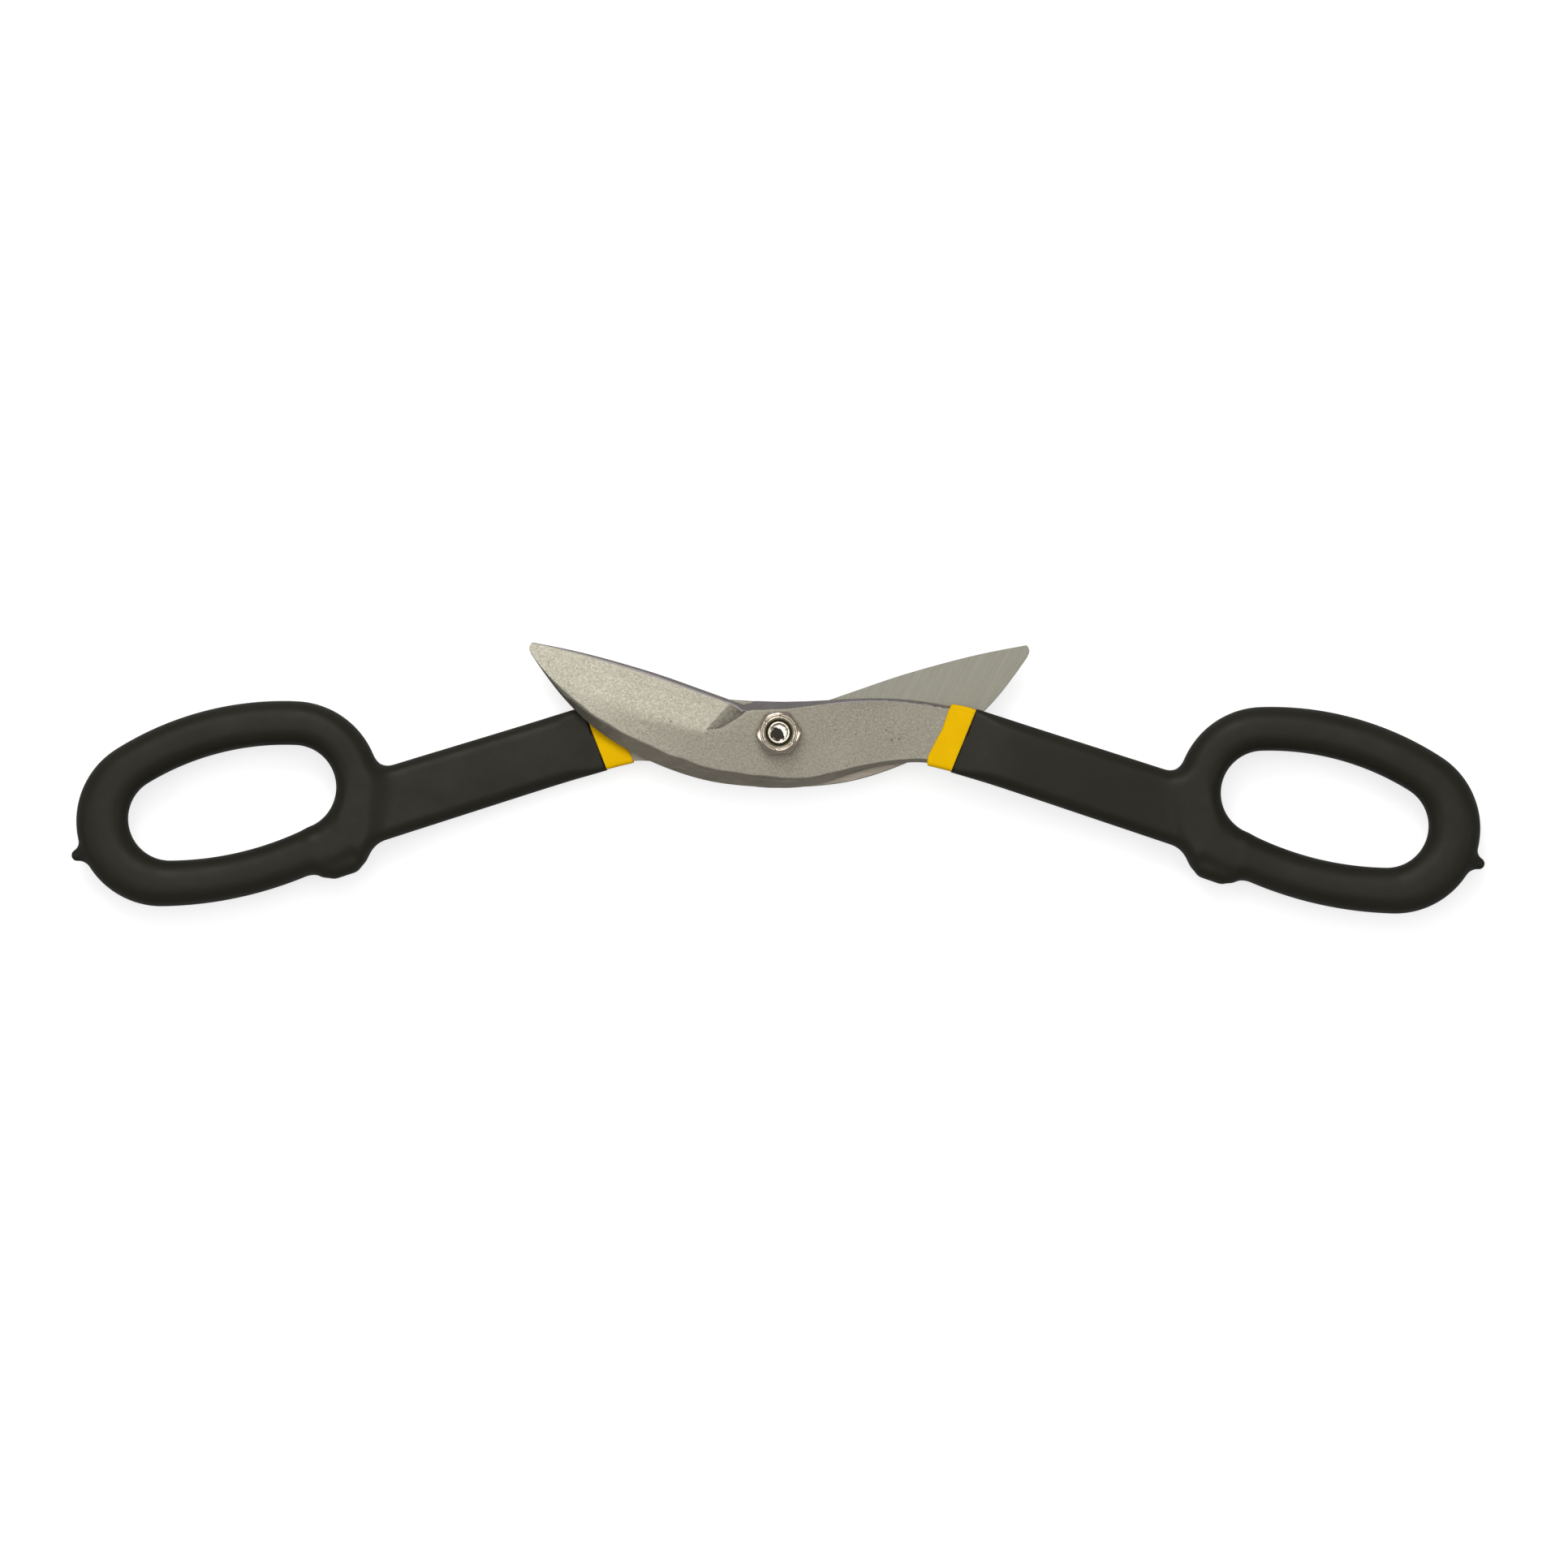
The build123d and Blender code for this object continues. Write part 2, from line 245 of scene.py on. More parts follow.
def ramp_start(y):
    """Where the heel ramp comes up to the boss."""
    return np.minimum(ramp_top(np.minimum(y, 7.4)), ramp_end(y) - 0.05)


def ground_height(x, y):
    """The two ground faces on the outer side of the blade, under its gentle crown."""
    crown = LAYER - np.maximum(x - CROWN_START_X, 0)**2 / (2 * CROWN_RADIUS)
    crease = CREASE_Y + (x - CROWN_START_X) * tan(CREASE_HEADING) - y
    line = (x - CROWN_START_X) * tan(EDGE_HEADING) - y
    softness = 0.12 + 0.01 * np.maximum(x - CROWN_START_X, 0)
    height = soft_min(crown, crown - tan(CREASE_TILT) * crease, softness)
    edge_face = crown - CREASE_Y * tan(CREASE_TILT) - tan(EDGE_TILT) * line
    return soft_min(height, edge_face, 0.06)


def outer_height(x, y):
    """Height of the outer side: the lowest of the forged and ground faces, with soft edges."""
    foot, head = ramp_end(y), ramp_start(y)
    ground = ground_height(np.maximum(x, foot), y)
    climb = soft_min(np.clip((foot - x) / (foot - head), 0, 2), 1.0, 0.07)
    height = ground + (LAYER - ground) * (0.5 * climb + 0.5 * climb**2)
    from_spine = (upper_border(x) - y) * slope_cosine(spine_curve, np.minimum(x, 81))
    from_belly = (y - lower_border(x)) * slope_cosine(belly_curve, np.minimum(x, 9.5))
    uneven = 1 + 0.05 * ripple(x, y * 0, 9, 3)
    spine_face = LAND + from_spine * (LAYER - LAND) / (spine_bevel(x) * uneven)
    ragged = 1 + 0.3 * smooth_step(-x, 18, 34) * ripple(x, y * 0, 2.2, 11)
    belly_face = LAND + from_belly * (LAYER - LAND) / (belly_bevel(np.minimum(x, 14)) * uneven * ragged)
    relief_face = RELIEF_START + (y - lower_border(x)) / tan(RELIEF_ANGLE)
    heel = smooth_step(x, 10.5, 17.5)
    low_face = belly_face * (1 - heel) + relief_face * heel
    height = soft_min(height, spine_face, 0.22)
    height = soft_min(height, low_face, 0.2 - 0.1 * heel)
    worn = np.minimum(smooth_step(from_spine, 0.3, 2), smooth_step(y - lower_border(x), 0.5, 3))
    worn = worn * smooth_step(np.hypot(x, y), 8, 11)
    rough = worn * (0.03 * ripple(x, y, 11, 5) + 0.01 * ripple(x, y, 2.6, 6) - 0.03)
    return np.minimum(height + rough, LAYER) - 0.004


def finish_shares(x, y):
    """How bright each spot of the outer side is ground, partly painted light with a painted highlight, and
    how dark the heel ramp is there, partly painted shade.
    """
    crease = CREASE_Y + (x - CROWN_START_X) * tan(CREASE_HEADING) - y
    foot, head = ramp_end(y), ramp_start(y)
    beyond = np.maximum(x - 24, 0)
    # ground faces below the crease: ground finish, made brighter partly as painted light from their tilt
    facet = smooth_step(crease, -2.6 - 0.14 * beyond, 0.3 + 0.1 * beyond)
    facet = facet * smooth_step(x, foot - 0.3, foot + 0.3)
    # brighter towards the tip: partly ground finish, partly painted light on the crowned blade
    crown = 0.85 * smooth_step(x, 14, 74) + 0.1 * smooth_step(x, 40, 50)
    # painted highlight on the boss beside the head of the heel ramp
    rim = 0.45 * np.exp(-np.maximum(head - x, 0) / 2.2) * (x < head) * smooth_step(y, 9.5, 6.5)
    # heel ramp painted dark: its coarse grind, plus painted shade growing towards its steep head
    on_ramp = smooth_step(x, head - 0.2, head + 0.15) * smooth_step(x, foot + 0.3, foot - 0.3)
    on_ramp = on_ramp * smooth_step(y, RAMP_TOP_Y + 0.2, RAMP_TOP_Y - 0.3)
    climb = np.clip((foot - x) / (foot - head), 0, 1)
    share = on_ramp * (0.25 + 0.75 * climb**0.7)
    return np.maximum(np.maximum(facet, crown), rim) * (1 - share), share


def head_stations():
    plain = np.arange(NECK_END_X, TIP_X - 0.6, 0.5)
    heel = np.arange(10, 23.5, 0.16)
    tip = TIP_X - np.geomspace(0.04, 1.2, 14)
    return np.unique(np.round(np.concatenate([plain, heel, tip]), 3))


def head_rows(x):
    """Rows across each station, from the lower border to the spine, close together at the edges."""
    low, high = lower_border(x), upper_border(x)
    width = high - low
    heel = smooth_step(x, 8, 20)
    face_z = outer_height(x, low + 0.55 * width)
    spine_line = high - spine_bevel(x) * np.clip((face_z - LAND) / (LAYER - LAND), 0.05, 1)
    belly_line = low + belly_bevel(np.minimum(x, 14))
    relief_depth = outer_height(x, low + 0.12 * width) - RELIEF_START
    relief_line = low + np.maximum(0.3, relief_depth * tan(RELIEF_ANGLE))
    low_line = belly_line * (1 - heel) + relief_line * heel
    edge_line = (low + 0.35 * width) * (1 - heel) + (x - CROWN_START_X) * tan(EDGE_HEADING) * heel
    crease_y = CREASE_Y + (x - CROWN_START_X) * tan(CREASE_HEADING)
    crease_line = (low + 0.65 * width) * (1 - heel) + crease_y * heel
    knots = [low, low_line, edge_line, crease_line, spine_line, high]
    gap = 0.05 * width
    for i in range(1, 5):
        knots[i] = np.maximum(knots[i], knots[i - 1] + gap)
    for i in range(4, 0, -1):
        knots[i] = np.minimum(knots[i], knots[i + 1] - gap)
    rows = []
    for (start, end), count in zip(zip(knots, knots[1:]), ROW_COUNTS):
        for k in range(count):
            t = k / count
            eased = 0.5 - 0.5 * cos(pi * t)
            rows.append(start + (end - start) * (0.5 * t + 0.5 * eased))
    rows.append(high)
    return np.array(rows).T


def steel_head(side, materials):
    """The bare end of one forging as a closed skin; the bolt's bore is cut later, by cut_bore."""
    x = head_stations()
    rows = head_rows(x)
    across = np.repeat(x[:, None], rows.shape[1], 1)
    top = outer_height(across, rows)
    floor_z = MATING_Z + np.maximum(NECK_RELIEF_X - x, 0) * tan(NECK_RELIEF_ANGLE)
    break_edge = np.minimum(0.12, 0.1 * (rows[:, -1] - rows[:, 0]))
    sharp = smooth_step(x, 12, 14)
    wall = []
    for share, inset in ((0.66, 0), (0.33, 0), (0.08, 0.15)):
        z = floor_z + (top[:, -1] - floor_z) * share
        wall.append((rows[:, -1] - inset * break_edge, z))
    worn = smooth_step(x, -45, -30) * smooth_step(x, 11, 8)
    low_break = break_edge * (1 - 0.8 * sharp + 3.6 * worn)
    width = rows[:, -1] - rows[:, 0]
    shrink = (width - break_edge - low_break) / width
    inset = (rows[:, 0] + low_break)[:, None] + (rows - rows[:, :1]) * shrink[:, None]
    bottom = [(inset[:, j], floor_z) for j in range(rows.shape[1] - 1, -1, -1)]
    rise = []
    for share, inset in ((0.08, 0.15), (0.33, 0), (0.66, 0)):
        z = floor_z + (top[:, 0] - floor_z) * share
        rise.append((rows[:, 0] + inset * break_edge * (1 - sharp), z))
    loop = [(rows[:, j], top[:, j]) for j in range(rows.shape[1])] + wall + bottom + rise
    count, around = len(x), len(loop)
    points = np.zeros((count, around, 3))
    for j, (y, z) in enumerate(loop):
        points[:, j] = np.stack([x, y, np.broadcast_to(z, x.shape)], 1)
    faces = []
    for i in range(count - 1):
        for j in range(around):
            a, b = i * around + j, i * around + (j + 1) % around
            faces.append((a, b, b + around, a + around))
    rows_top = rows.shape[1]
    under = rows_top + len(wall)
    cap = [(j, j + 1, under + rows_top - 2 - j, under + rows_top - 1 - j) for j in range(rows_top - 1)]
    cap += [tuple(range(rows_top - 1, under + 1)), (*range(under + rows_top - 1, around), 0)]
    for start in (0, (count - 1) * around):
        faces += [tuple(start + k for k in face) for face in cap]
    piece = mesh_object(f"{side}_blade_steel", points.reshape(-1, 3), faces)
    face_outwards(piece)
    give(piece, *materials)
    # per point: ground finish with painted light, and the heel ramp's grind with painted shade
    polish_and_light, ramp = np.zeros((count, around)), np.zeros((count, around))
    polish_and_light[:, :rows_top], ramp[:, :rows_top] = finish_shares(across, rows)
    for name, share in (("polish_and_light", polish_and_light), ("ramp", ramp)):
        layer = piece.data.attributes.new(name, "FLOAT", "POINT")
        layer.data.foreach_set("value", share.ravel())
    dark_spine_strip = DARK_SPINE_STRIP * smooth_step(x, 52, 30)
    kinds = np.full(len(piece.data.polygons), BLASTED)
    for index in range((count - 1) * around):
        i, j = divmod(index, around)
        if j < ROW_COUNTS[0]:
            kinds[index] = GROUND
        elif rows_top - 1 - ROW_COUNTS[-1] <= j < rows_top - 1 + len(wall):
            kinds[index] = FORGED
        elif rows_top - 1 + len(wall) <= j < around - len(rise) - 1:
            column = max(2 * rows_top - 2 + len(wall) - j, 0)
            from_spine = rows[i, -1] - rows[i, min(column, rows_top - 1)]
            bare = from_spine < dark_spine_strip[i] or x[i] < NECK_RELIEF_X
            kinds[index] = FORGED if bare else BRUSHED
        elif j >= around - len(rise) - 1:
            kinds[index] = GROUND if x[i] > HEEL_X else FORGED
    piece.data.polygons.foreach_set("material_index", kinds)
    return piece


def combine(piece, other, operation):
    """Boolean of two closed meshes, kept on the first."""
    step = piece.modifiers.new(operation.lower(), "BOOLEAN")
    step.operation = operation
    step.solver = "EXACT"
    step.object = other
    apply_modifiers(piece)
    bpy.data.objects.remove(other)


def cut_bore(piece):
    """A round hole for the bolt, right through."""
    count = 96
    points = []
    for z in (-20, 20):
        for k in range(count):
            angle = 2 * pi * (k + 0.5) / count
            points.append((BORE_RADIUS * cos(angle), BORE_RADIUS * sin(angle), z))
    faces = [tuple(range(count)), tuple(range(count, 2 * count))]
    for k in range(count):
        faces.append((k, (k + 1) % count, count + (k + 1) % count, count + k))
    cutter = mesh_object("cutter", points, faces)
    face_outwards(cutter)
    combine(piece, cutter, "DIFFERENCE")


def add_tang(side, piece):
    """The rest of the forging, inside the vinyl, is the CAD solid past the neck."""
    work = bmesh.new()
    work.from_mesh(frame["nodes"][f"{side}_blade"].data)
    bmesh.ops.transform(work, matrix=PLACES[side].inverted(), verts=work.verts)
    bmesh.ops.remove_doubles(work, verts=work.verts, dist=0.0005)
    everything = list(work.verts) + list(work.edges) + list(work.faces)
    cut = bmesh.ops.bisect_plane(work, geom=everything, plane_co=(NECK_END_X + 0.4, 0, 0),
                                 plane_no=(1, 0, 0), clear_outer=True)
    rim = [e for e in cut["geom_cut"] if isinstance(e, bmesh.types.BMEdge)]
    bmesh.ops.holes_fill(work, edges=rim, sides=0)
    for face in work.faces:
        face.material_index = BLASTED
    mesh = bpy.data.meshes.new("tang")
    work.to_mesh(mesh)
    work.free()
    tang = bpy.data.objects.new("tang", mesh)
    bpy.context.scene.collection.objects.link(tang)
    combine(piece, tang, "UNION")


# ---------------------------------------------------------------- dipped handle
LOOP_OUTSIDE = ((-192.1, -34.45), 26.65, (-149.55, -31.5), 27.0, 122.0, 98.0)
LOOP_OPENING = ((-189.4, -34.35), 13.05, (-149.4, -31.5), 13.2, 98.8, 82.8)
LOOP_HALF_DEPTH = 6.5
shank_top = smooth_curve([(-140, -6.9), (-120, -6.75), (-100, -6.6), (-76, -6.4), (-64, -6.15),
                          (-55, -5.8), (-48, -5.7)])
shank_bottom = smooth_curve([(-140, -28.8), (-115, -28.4), (-76, -27.5), (-64, -27.25), (-48, -26.9)])
shank_middle_z = smooth_curve([(-140, 0.1), (-131, 0.3), (-118, 1.3), (-95, 3.6), (-80, 5.1), (-70, 5.6),
                               (-62, 5.5), (-55, 5.1), (-48, 4.7)])
shank_half_depth = smooth_curve([(-140, 5.1), (-76, 5.2), (-66, 5.15), (-60, 4.7), (-55, 4.1), (-48, 3.8)])
BLACK_EDGE = ((-54.7, -6.0), (-55.9, -27.0))    # the black dip ends along this line
STOP_CENTRE, STOP_HALF = np.array([-142.6, -7.65, 0.0]), np.array([6.5, 7.5, 5.4])
STOP_CORNER, STOP_LEAN = 3.9, 0.42
NUB_ROOT, NUB_LENGTH = (-216.5, -32.5), 4.0
SKIN_STEP = 0.65             # grid of the surface net, mm


def oval_distance(x, y, far, far_radius, near, near_radius, upper_radius, lower_radius):
    """Signed distance to an oval of four tangent arcs, negative inside."""
    span = hypot(near[0] - far[0], near[1] - far[1])
    along = (near[0] - far[0]) / span, (near[1] - far[1]) / span
    u = (x - far[0]) * along[0] + (y - far[1]) * along[1]
    v = (y - far[1]) * along[0] - (x - far[0]) * along[1]
    ends = np.where(u < span / 2, np.hypot(u, v) - far_radius, np.hypot(u - span, v) - near_radius)
    sides = np.full(np.shape(ends), -1e3)
    for sign, radius in ((1, upper_radius), (-1, lower_radius)):
        to_far, to_near = radius - far_radius, radius - near_radius
        step = (to_far**2 - to_near**2 + span**2) / (2 * span)
        drop = sqrt(to_far**2 - step**2)
        run, rise = u - step, sign * v + drop
        within = (rise > 0) & (run * drop >= -step * rise) & (run * drop <= (span - step) * rise)
        sides = np.where(within, np.maximum(sides, np.hypot(run, rise) - radius), sides)
    return np.where(sides > -999, sides, ends)


def handle_field(x, y, z):
    """Negative inside the dipped handle: shank, finger loop, stop bump and drip nub."""
    outside = oval_distance(x, y, *LOOP_OUTSIDE)
    opening = -oval_distance(x, y, *LOOP_OPENING)
    width = np.maximum(-(outside + opening), 8)
    across = (opening - outside) / width
    roundness = 2.35
    tube = (np.abs(across)**roundness + np.abs(z / LOOP_HALF_DEPTH)**roundness)**(1 / roundness)
    loop = (tube - 1) * np.minimum(width / 2, LOOP_HALF_DEPTH)

    corner = 1.5 + 2.4 * smooth_step(-x, 55, 68)
    middle_y = (shank_top(x) + shank_bottom(x)) / 2
    half_width = (shank_top(x) - shank_bottom(x)) / 2
    sunk = 0.18 * (1 - np.clip(np.abs(y - middle_y) / half_width, 0, 1)**2)
    away_y = np.abs(y - middle_y) - (half_width - corner)
    away_z = np.abs(z - shank_middle_z(x)) - (shank_half_depth(x) - 0.18 + sunk - corner)
    shank = np.hypot(np.maximum(away_y, 0), np.maximum(away_z, 0))
    shank = shank + np.minimum(np.maximum(away_y, away_z), 0) - corner
    shank = soft_max(shank, -132.5 - x - 0.62 * (y + 24), 2.5)
    shank = np.maximum(shank, x + 50.0)

    leaning = x - STOP_LEAN * np.maximum(-1.0 - y, 0) * (x > STOP_CENTRE[0])
    beyond = [np.abs(p - c) - (h - STOP_CORNER)
              for p, c, h in zip((leaning, y, z), STOP_CENTRE, STOP_HALF)]
    stop = np.sqrt(sum(np.maximum(b, 0)**2 for b in beyond))
    stop = stop + np.minimum(np.maximum(np.maximum(beyond[0], beyond[1]), beyond[2]), 0) - STOP_CORNER

    t = np.clip((NUB_ROOT[0] - x) / NUB_LENGTH, 0, 1)
    away = x - NUB_ROOT[0] + NUB_LENGTH * t, y - NUB_ROOT[1] + 0.1 * t, z
    nub = np.sqrt(sum(a**2 for a in away)) - (3.0 - 1.2 * t)

    field = soft_min(loop, shank, 5.2)
    softness = 3.0 + 3.6 * smooth_step(x, -139, -135) + 3.0 * smooth_step(-x, 146, 150)
    field = soft_min(field, stop, softness)
    field = soft_max(field, np.abs(z) - LOOP_HALF_DEPTH - 0.25 * np.maximum(x + 124, 0), 0.5)
    return soft_min(field, nub, 2.2)


def surface_net(field, low, high, step):
    """Closed quad skin of the zero surface of field, drawn onto it by a few Newton steps."""
    axes = [np.arange(a, b + step, step) for a, b in zip(low, high)]
    values = field(*np.meshgrid(*axes, indexing="ij"))
    inside = values < 0
    cells = tuple(n - 1 for n in values.shape)

    def corner(array, offset):
        return array[tuple(slice(o, o + n) for o, n in zip(offset, cells))]

    filled = sum(corner(inside, o).astype(int) for o in product((0, 1), repeat=3))
    active = (filled > 0) & (filled < 8)
    number = -np.ones(cells, int)
    number[active] = np.arange(active.sum())
    place = np.zeros((active.sum(), 3))
    hits = np.zeros(active.sum())
    for axis in range(3):
        others = [a for a in range(3) if a != axis]
        for pair in product((0, 1), repeat=2):
            start = [0, 0, 0]
            start[others[0]], start[others[1]] = pair
            end = list(start)
            end[axis] = 1
            a, b = corner(values, start)[active], corner(values, end)[active]
            crosses = (a < 0) != (b < 0)
            share = np.where(crosses, a / np.where(crosses, a - b, 1), 0)
            spot = np.tile(np.array(start, float), (len(a), 1))
            spot[:, axis] = share
            place += spot * crosses[:, None]
            hits += crosses
    place = place / hits[:, None] + np.argwhere(active)
    points = np.array(low) + place * step

    faces = []
    for axis in range(3):
        b, c = [a for a in range(3) if a != axis]
        first = [slice(None)] * 3
        second = [slice(None)] * 3
        first[axis], second[axis] = slice(0, -1), slice(1, None)
        change = inside[tuple(first)] != inside[tuple(second)]
        for i, j, k in np.argwhere(change):
            at = [i, j, k]
            if at[b] == 0 or at[c] == 0 or at[b] >= cells[b] or at[c] >= cells[c]:
                continue
            ring = []
            for db, dc in ((-1, -1), (0, -1), (0, 0), (-1, 0)):
                cell = list(at)
                cell[b] += db
                cell[c] += dc
                ring.append(number[tuple(cell)])
            if inside[i, j, k] == (axis == 1):
                ring.reverse()
            faces.append(ring)

    reach = 0.02
    for _ in range(4):
        x, y, z = points.T
        here = field(x, y, z)
        gradient = np.stack([(field(x + reach, y, z) - field(x - reach, y, z)),
                             (field(x, y + reach, z) - field(x, y - reach, z)),
                             (field(x, y, z + reach) - field(x, y, z - reach))], 1) / (2 * reach)
        size = np.maximum((gradient**2).sum(1), 0.05)
        points = points - np.clip(here / size, -0.4, 0.4)[:, None] * gradient
    return points, faces


def black_grip(side, points, faces):
    """The outer dip: the handle's skin, cut off square at the yellow band."""
    piece = mesh_object(f"{side}_grip_dip", points, faces)
    work = bmesh.new()
    work.from_mesh(piece.data)
    (x0, y0), (x1, y1) = BLACK_EDGE
    everything = list(work.verts) + list(work.edges) + list(work.faces)
    cut = bmesh.ops.bisect_plane(work, geom=everything, plane_co=(x0, y0, 0),
                                 plane_no=(y0 - y1, x1 - x0, 0), clear_outer=True)
    rim = [e for e in cut["geom_cut"] if isinstance(e, bmesh.types.BMEdge)]
    bmesh.ops.holes_fill(work, edges=rim, sides=0)
    bmesh.ops.recalc_face_normals(work, faces=work.faces)
    lip = [face for face in work.faces if len(face.verts) > 8]
    for face in work.faces:
        face.smooth = len(face.verts) <= 8
    edges = [edge for face in lip for edge in face.edges]
    bmesh.ops.bevel(work, geom=edges, offset=0.3, segments=3, profile=0.6, affect="EDGES")
    work.to_mesh(piece.data)
    work.free()
    return piece


# ---------------------------------------------------------------- yellow under dip
yellow_top = smooth_curve([(-62, -6.9), (-55.3, -6.1), (-51, -5.75), (-47, -5.35)])
yellow_bottom = smooth_curve([(-62, -26.5), (-55.3, -26.8), (-51, -26.65), (-47, -26.0)])
yellow_low_z = smooth_curve([(-62, 1.8), (-55.3, 1.35), (-51, 0.8), (-47, 0.32)])
yellow_high_z = smooth_curve([(-62, 9.5), (-55.3, 8.8), (-51, 8.1), (-47, 7.5)])
BAND_EDGE_X = -47.3          # the band's free edge, before it wanders
DRIP_EDGES = {
    "front": smooth_curve([(-27, -48.4), (-24, -47.8), (-18, -47.75), (-14.5, -47.3), (-11, -46.7),
                           (-7.5, -46.6), (-5, -47.3)]),
    "rear": smooth_curve([(-27, -48.2), (-23, -47.7), (-18, -47.8), (-14, -47.2), (-11, -46.7),
                          (-7.5, -46.0), (-5, -46.1)]),
}


def rounded_rectangle(half_width, half_depth, corner, count):
    """Points round a rounded rectangle as (across, up), evenly spread over its sides and corners."""
    spots = []
    straight = count // 4 - 6
    sides = ((1, 1), (-1, 1), (-1, -1), (1, -1))
    for index, (sx, sy) in enumerate(sides):
        centre = sx * (half_width - corner), sy * (half_depth - corner)
        start = index * pi / 2
        for k in range(6):
            angle = start + pi / 2 * k / 5
            spots.append((centre[0] + corner * cos(angle), centre[1] + corner * sin(angle)))
        sx2, sy2 = sides[(index + 1) % 4]
        nxt_centre = sx2 * (half_width - corner), sy2 * (half_depth - corner)
        angle = start + pi / 2
        here = spots[-1]
        there = nxt_centre[0] + corner * cos(angle), nxt_centre[1] + corner * sin(angle)
        for k in range(1, straight + 1):
            t = k / (straight + 1)
            spots.append((here[0] + (there[0] - here[0]) * t, here[1] + (there[1] - here[1]) * t))
    return np.array(spots)


def yellow_band(side):
    """A tube of vinyl round the neck: its free edge wanders and feathers out on the steel."""
    outer = [(0.0, 0.42), (0.04, 0.26), (0.14, 0.1), (0.32, 0.02), (0.6, 0.0)]
    outer += [(0.6 + 12.6 * k / 16, 0.0) for k in range(1, 17)]
    inner = [(13.2, 0.7), (9, 0.7), (5, 0.7), (1.2, 0.7), (0.15, 0.66)]
    count = 160
    points = []
    for back, depth in outer + inner:
        x_here = BAND_EDGE_X - back
        middle_y = float(yellow_top(x_here) + yellow_bottom(x_here)) / 2
        half_y = float(yellow_top(x_here) - yellow_bottom(x_here)) / 2 - depth
        middle_z = float(yellow_low_z(x_here) + yellow_high_z(x_here)) / 2
        half_z = float(yellow_high_z(x_here) - yellow_low_z(x_here)) / 2 - depth
        for across, up in rounded_rectangle(half_y, half_z, max(1.1 - depth, 0.4), count):
            y, z = middle_y + across, middle_z + up
            fold = 0.16 * exp(-((across + half_y - 1.7) / 0.35)**2) if up > 0 else 0
            z -= fold
            start = float(DRIP_EDGES[side](np.clip(y, -27, -5)))
            fade = max(0.0, 1 - back / 9)
            wobble = 0.18 * float(ripple(y, z, 7, 21))
            points.append((x_here + (start - BAND_EDGE_X + wobble) * fade, y, z))
    around = len(points) // len(outer + inner)
    rows = len(outer + inner)
    faces = []
    for i in range(rows):
        for j in range(around):
            a, b = i * around + j, i * around + (j + 1) % around
            c, d = ((i + 1) % rows) * around + (j + 1) % around, ((i + 1) % rows) * around + j
            faces.append((a, b, c, d))
    piece = mesh_object(f"{side}_undercoat_dip", points, faces)
    face_outwards(piece)
    return piece


# ---------------------------------------------------------------- bolt, nut and nylon ring
HALF_FLATS = 6.5
CORNER_RADIUS = 7.1
HEX_TURN = radians(5)
SEGMENTS = 288


def hex_radius(angle):
    """Outline of the nut and of the bolt head, with blunted corners."""
    local = (angle - HEX_TURN) % (pi / 3) - pi / 6
    return min(HALF_FLATS / cos(local), CORNER_RADIUS)


def polar_mesh(name, rows, ring=True):
    """Rows of (radius, height) functions of the angle round the bolt's axis, closed into a skin."""
    angles = [2 * pi * k / SEGMENTS for k in range(SEGMENTS)]
    points = []
    for row in rows:
        for angle in angles:
            radius, z = row(angle)
            points.append((radius * cos(angle) * MM, radius * sin(angle) * MM, z * MM))
    faces = []
    last = len(rows) if ring else len(rows) - 1
    for i in range(last):
        for k in range(SEGMENTS):
            a, b = i * SEGMENTS + k, i * SEGMENTS + (k + 1) % SEGMENTS
            j = ((i + 1) % len(rows)) * SEGMENTS
            faces.append((a, b, j + (k + 1) % SEGMENTS, j + k))
    if not ring:
        for i in (0, len(rows) - 1):
            centre = len(points)
            height = sum(points[i * SEGMENTS + k][2] for k in range(SEGMENTS)) / SEGMENTS
            points.append((0, 0, height))
            for k in range(SEGMENTS):
                faces.append((centre, i * SEGMENTS + k, i * SEGMENTS + (k + 1) % SEGMENTS))
    piece = mesh_object(name, points, faces)
    face_outwards(piece)
    return piece


def plain(radius, z):
    return lambda angle: (radius, z)


def hexagon_rows(low, high, chamfer_from, low_chamfer_from):
    """Side of a hexagon between two heights, its corners cut by 30 degree chamfers."""
    fall = tan(radians(30))

    def row(share, top):
        def spot(angle):
            full = hex_radius(angle)
            radius = full - 0.12 * share
            if top:
                z = high - max(0, radius - chamfer_from) * fall - 0.12 * (1 - share)
            else:
                z = low + max(0, radius - low_chamfer_from) * fall + 0.12 * (1 - share)
            return radius, z
        return spot

    return ([row(1, False), row(0.3, False), row(0, False)]
            + [lambda angle, t=t: (hex_radius(angle), low + (high - low) * t) for t in (0.3, 0.5, 0.7)]
            + [row(0, True), row(0.3, True), row(1, True)])


def cone_rows(inner, z, way, shares):
    """Rows of a 30 degree chamfer, from a round edge out to the blunted corners."""
    def spot(angle, t):
        run = (hex_radius(angle) - 0.12 - inner) * t
        return inner + run, z + way * run * tan(radians(30))

    return [lambda angle, t=t: spot(angle, t) for t in shares]


def crimp(angle):
    """1 at each of the six crimp marks on the collar, falling to 0 beside them."""
    local = (angle - radians(83) + pi / 6) % (pi / 3) - pi / 6
    return max(0.0, 1 - (degrees(local) / 5.5)**2)**2


